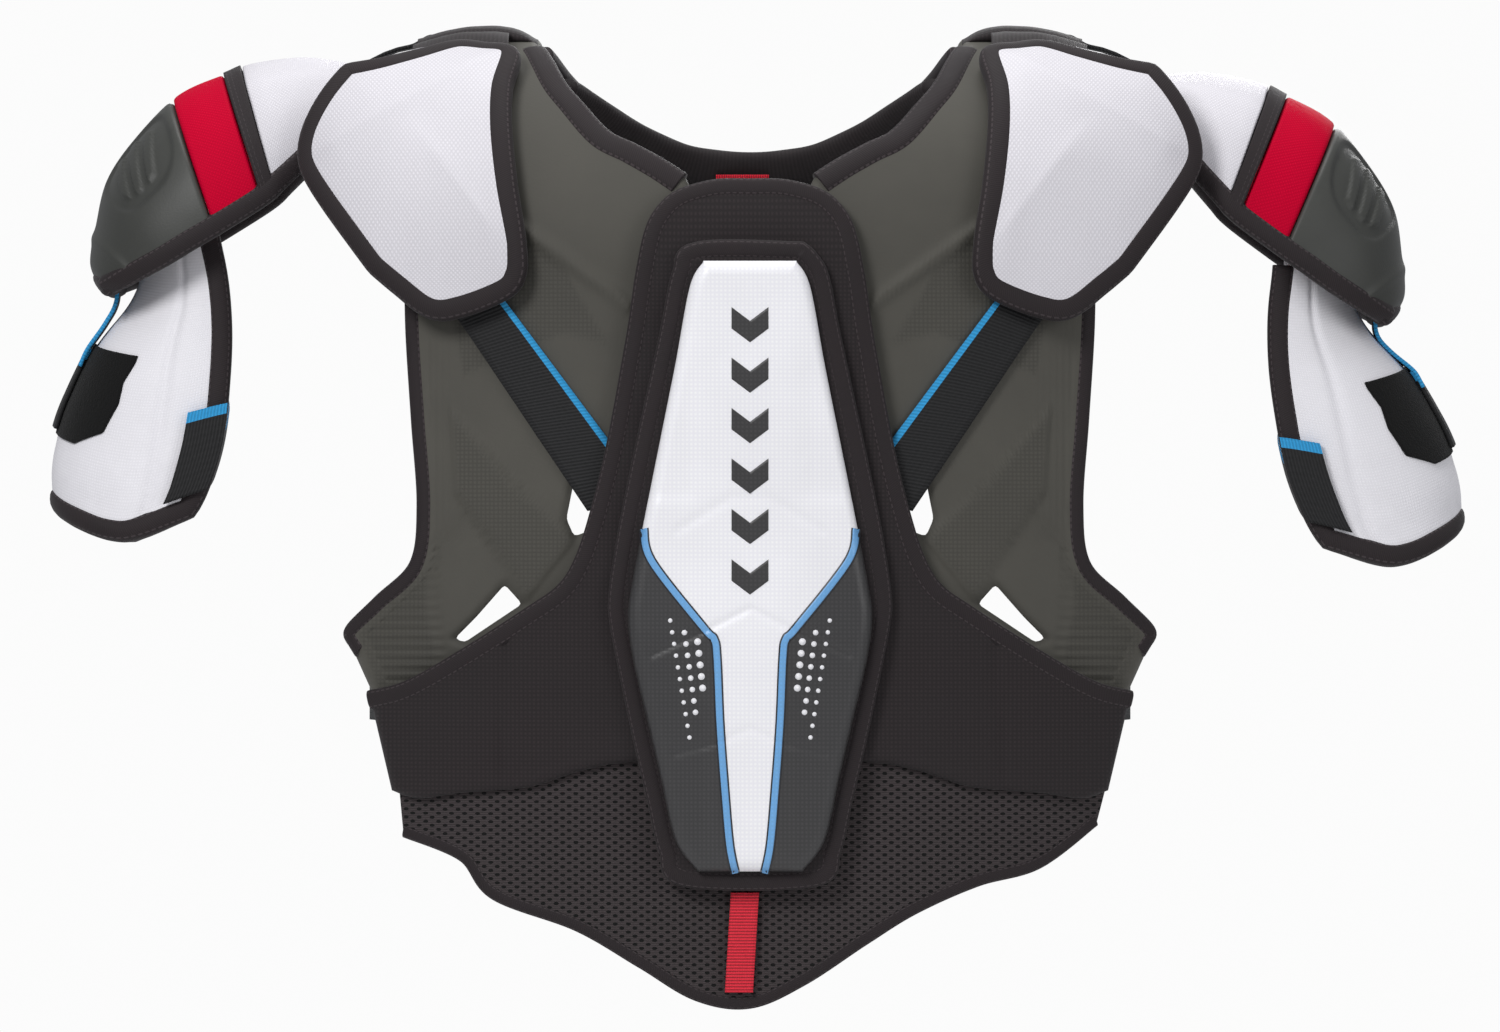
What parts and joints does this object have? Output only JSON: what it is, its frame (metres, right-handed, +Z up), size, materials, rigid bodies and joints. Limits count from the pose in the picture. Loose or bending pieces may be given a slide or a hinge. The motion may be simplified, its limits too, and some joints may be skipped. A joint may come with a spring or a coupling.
{
  "type": "hockey shoulder pads",
  "caption": "Padded upper-body protector worn over the head: chest and back shells, hinged shoulder flaps, arm caps, biceps guards and closing straps.",
  "frame": {"origin": "the middle of the wearer's shoulder line, level with the back of the neck edge", "axes": "+Z up, +X towards the wearer's left, -Y towards the wearer's front"},
  "size_m": [0.741, 0.2751, 0.5052],
  "materials": {
    "eva_foam": "matte moulded foam, fine ribs",
    "binding_tape": "woven edge binding with a stitch line",
    "elastic_webbing": "ribbed elastic webbing",
    "white_cover": "white coated woven cover",
    "red_cover": "red coated woven cover",
    "cap_moulding": "semi-matte moulded shell",
    "hook_loop": "fuzzy loop pile",
    "dark_fabric": "dark brushed woven fabric",
    "spacer_mesh": "black spacer mesh",
    "red_tape": "red grosgrain tape",
    "sternum_moulding": "moulded plate with a printed pattern"
  },
  "bodies": {
    "back": {"back_plate_right": "eva_foam", "back_plate_left": "eva_foam", "spine_guard": "eva_foam", "back_liner": "dark_fabric", "lower_back_panel": "dark_fabric", "collar_roll": "dark_fabric", "back_neck_binding": "binding_tape", "back_edge_binding_right": "binding_tape", "back_edge_binding_left": "binding_tape", "lower_back_binding": "binding_tape", "neck_label": "red_tape", "cap_strap_right": "elastic_webbing", "cap_strap_left": "elastic_webbing"},
    "front": {"chest_plate_right": "eva_foam", "chest_plate_left": "eva_foam", "chest_liner": "dark_fabric", "neck_binding_right": "binding_tape", "neck_binding_left": "binding_tape", "armhole_binding_right": "binding_tape", "armhole_binding_left": "binding_tape", "cross_strap_right": "elastic_webbing", "cross_strap_left": "elastic_webbing", "belly_panel": "dark_fabric", "belly_binding": "binding_tape", "mesh_apron": "spacer_mesh", "apron_binding": "binding_tape", "tail_tape": "red_tape", "sternum_pad": "dark_fabric", "sternum_binding": "binding_tape", "sternum_plate": "sternum_moulding", "waist_anchor_right": "elastic_webbing", "waist_anchor_left": "elastic_webbing"},
    "flap_right": {"flap_right": "white_cover", "flap_binding_right": "binding_tape"},
    "arm_cap_right": {"cap_dome_right": "white_cover", "cap_divider_right": "binding_tape", "cap_band_right": "red_cover", "cap_cup_right": "cap_moulding", "cap_binding_right": "binding_tape"},
    "biceps_right": {"biceps_guard_right": "white_cover", "guard_binding_right": "binding_tape", "loop_patch_right": "hook_loop", "inner_loop_right": "elastic_webbing", "biceps_strap_right": "elastic_webbing"},
    "biceps_tab_right": {"biceps_tab_right": "elastic_webbing"},
    "waist_strap_right": {"waist_strap_right": "elastic_webbing"},
    "flap_left": {"flap_left": "white_cover", "flap_binding_left": "binding_tape"},
    "arm_cap_left": {"cap_dome_left": "white_cover", "cap_divider_left": "binding_tape", "cap_band_left": "red_cover", "cap_cup_left": "cap_moulding", "cap_binding_left": "binding_tape"},
    "biceps_left": {"biceps_guard_left": "white_cover", "guard_binding_left": "binding_tape", "loop_patch_left": "hook_loop", "inner_loop_left": "elastic_webbing", "biceps_strap_left": "elastic_webbing"},
    "biceps_tab_left": {"biceps_tab_left": "elastic_webbing"},
    "waist_strap_left": {"waist_strap_left": "elastic_webbing"}
  },
  "joints": [
    {"name": "front_swing", "type": "hinge", "parent": "back", "child": "front", "pos_m": [0, 0, 0.06], "axis": [-1, 0, 0], "range_deg": [0, 40]},
    {"name": "flap_lift_right", "type": "hinge", "parent": "front", "child": "flap_right", "pos_m": [-0.155, -0.03, 0.062], "axis": [-1, 0, 0], "range_deg": [0, 50]},
    {"name": "arm_raise_right", "type": "hinge", "parent": "back", "child": "arm_cap_right", "pos_m": [-0.207, 0, 0.042], "axis": [0, 1, 0], "range_deg": [0, 40]},
    {"name": "biceps_flare_right", "type": "hinge", "parent": "arm_cap_right", "child": "biceps_right", "pos_m": [-0.318, 0, -0.06], "axis": [0, 1, 0], "range_deg": [0, 20]},
    {"name": "biceps_tab_open_right", "type": "hinge", "parent": "biceps_right", "child": "biceps_tab_right", "pos_m": [-0.3497, 0.0274, -0.127], "axis": [-0.3633, 0, -0.9317], "range_deg": [0, 80]},
    {"name": "waist_strap_open_right", "type": "hinge", "parent": "front", "child": "waist_strap_right", "pos_m": [-0.1955, -0.042, -0.281], "axis": [0, 0, 1], "range_deg": [0, 85]},
    {"name": "flap_lift_left", "type": "hinge", "parent": "front", "child": "flap_left", "pos_m": [0.155, -0.03, 0.062], "axis": [-1, 0, 0], "range_deg": [0, 50]},
    {"name": "arm_raise_left", "type": "hinge", "parent": "back", "child": "arm_cap_left", "pos_m": [0.2126, 0, 0.0363], "axis": [0, -1, 0], "range_deg": [0, 40]},
    {"name": "biceps_flare_left", "type": "hinge", "parent": "arm_cap_left", "child": "biceps_left", "pos_m": [0.31525, 0, -0.07411], "axis": [0, -1, 0], "range_deg": [0, 10]},
    {"name": "biceps_tab_open_left", "type": "hinge", "parent": "biceps_left", "child": "biceps_tab_left", "pos_m": [0.35267, 0.0274, -0.1381], "axis": [-0.4432, 0, 0.8964], "range_deg": [0, 80]},
    {"name": "waist_strap_open_left", "type": "hinge", "parent": "front", "child": "waist_strap_left", "pos_m": [0.1955, -0.042, -0.281], "axis": [0, 0, -1], "range_deg": [0, 85]}
  ]
}
